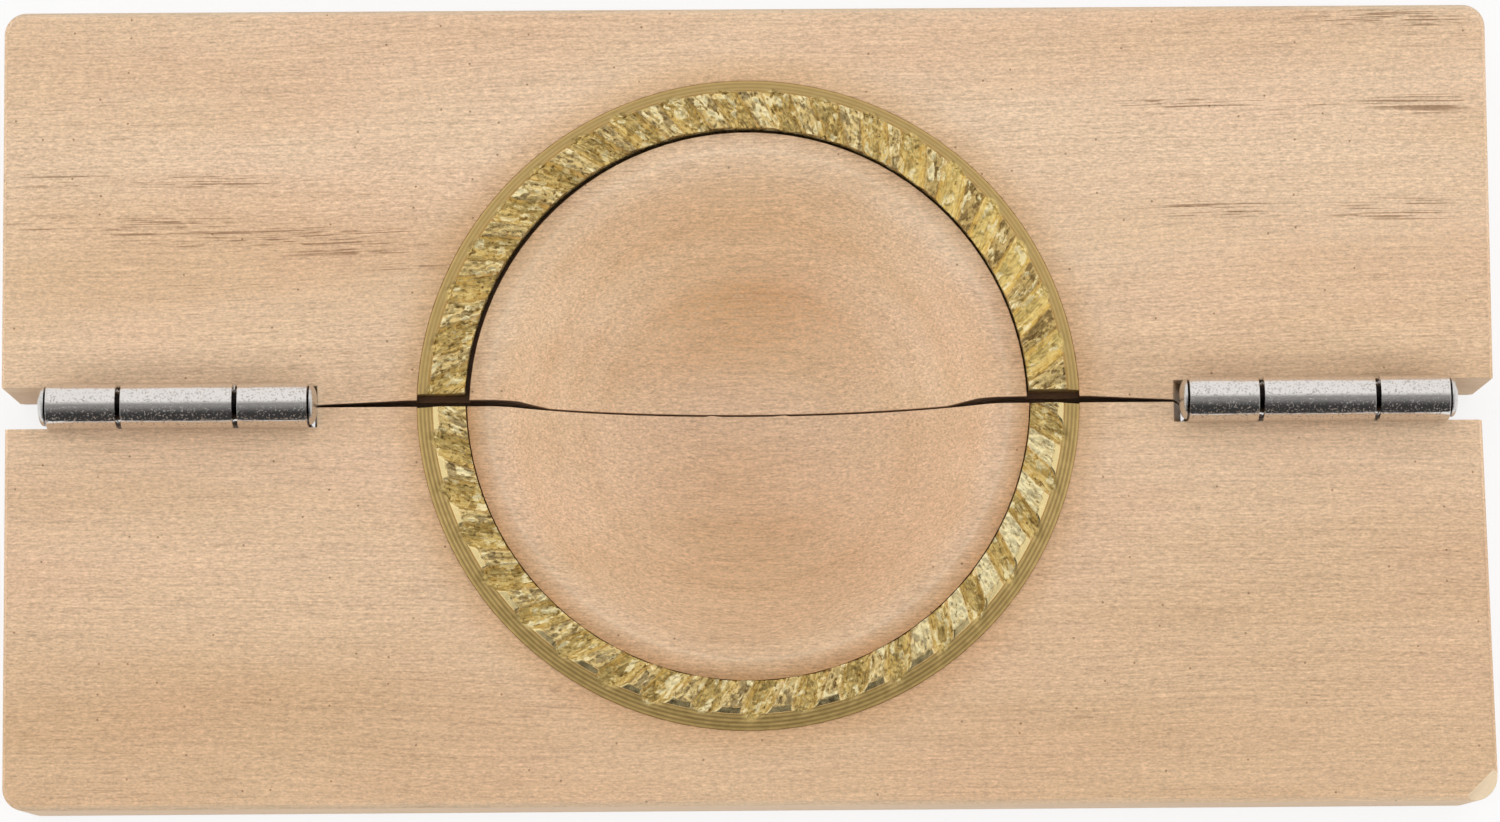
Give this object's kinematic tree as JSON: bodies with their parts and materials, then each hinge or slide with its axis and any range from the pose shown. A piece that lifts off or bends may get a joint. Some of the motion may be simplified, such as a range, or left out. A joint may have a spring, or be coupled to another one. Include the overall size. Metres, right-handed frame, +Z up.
{
  "type": "dumpling mold",
  "caption": "Hinged wooden dumpling mold, open flat: boards with a shared round bowl, a split cast brass crimping ring with slanted grooves, and plated butt hinges along the seam.",
  "frame": {"origin": "on the table, under the middle of the seam, with the mold open flat", "axes": "+X along the hinge axis to the right, +Y to the rear board, +Z up"},
  "size_m": [0.201, 0.108, 0.0252],
  "materials": {
    "front_wood": "bare sanded pale hardwood, slightly warm",
    "rear_wood": "bare sanded pale hardwood",
    "cast_brass": "rough casting with a turned outer bevel",
    "nickel_plate": "satin nickel plating",
    "pin_steel": "plated, domed ends",
    "screw_steel": "plated wood screw"
  },
  "bodies": {
    "front": {"front_board": "front_wood", "front_half_ring": "cast_brass", "left_hinge_front_leaf": "nickel_plate", "left_hinge_front_screws": "screw_steel", "left_hinge_pin": "pin_steel", "right_hinge_front_leaf": "nickel_plate", "right_hinge_front_screws": "screw_steel", "right_hinge_pin": "pin_steel"},
    "rear": {"rear_board": "rear_wood", "rear_half_ring": "cast_brass", "left_hinge_rear_leaf": "nickel_plate", "left_hinge_rear_screws": "screw_steel", "right_hinge_rear_leaf": "nickel_plate", "right_hinge_rear_screws": "screw_steel"}
  },
  "joints": [
    {"name": "fold", "type": "hinge", "parent": "front", "child": "rear", "pos_m": [0, 0, 0.0222], "axis": [1, 0, 0], "range_deg": [0, 180]}
  ]
}
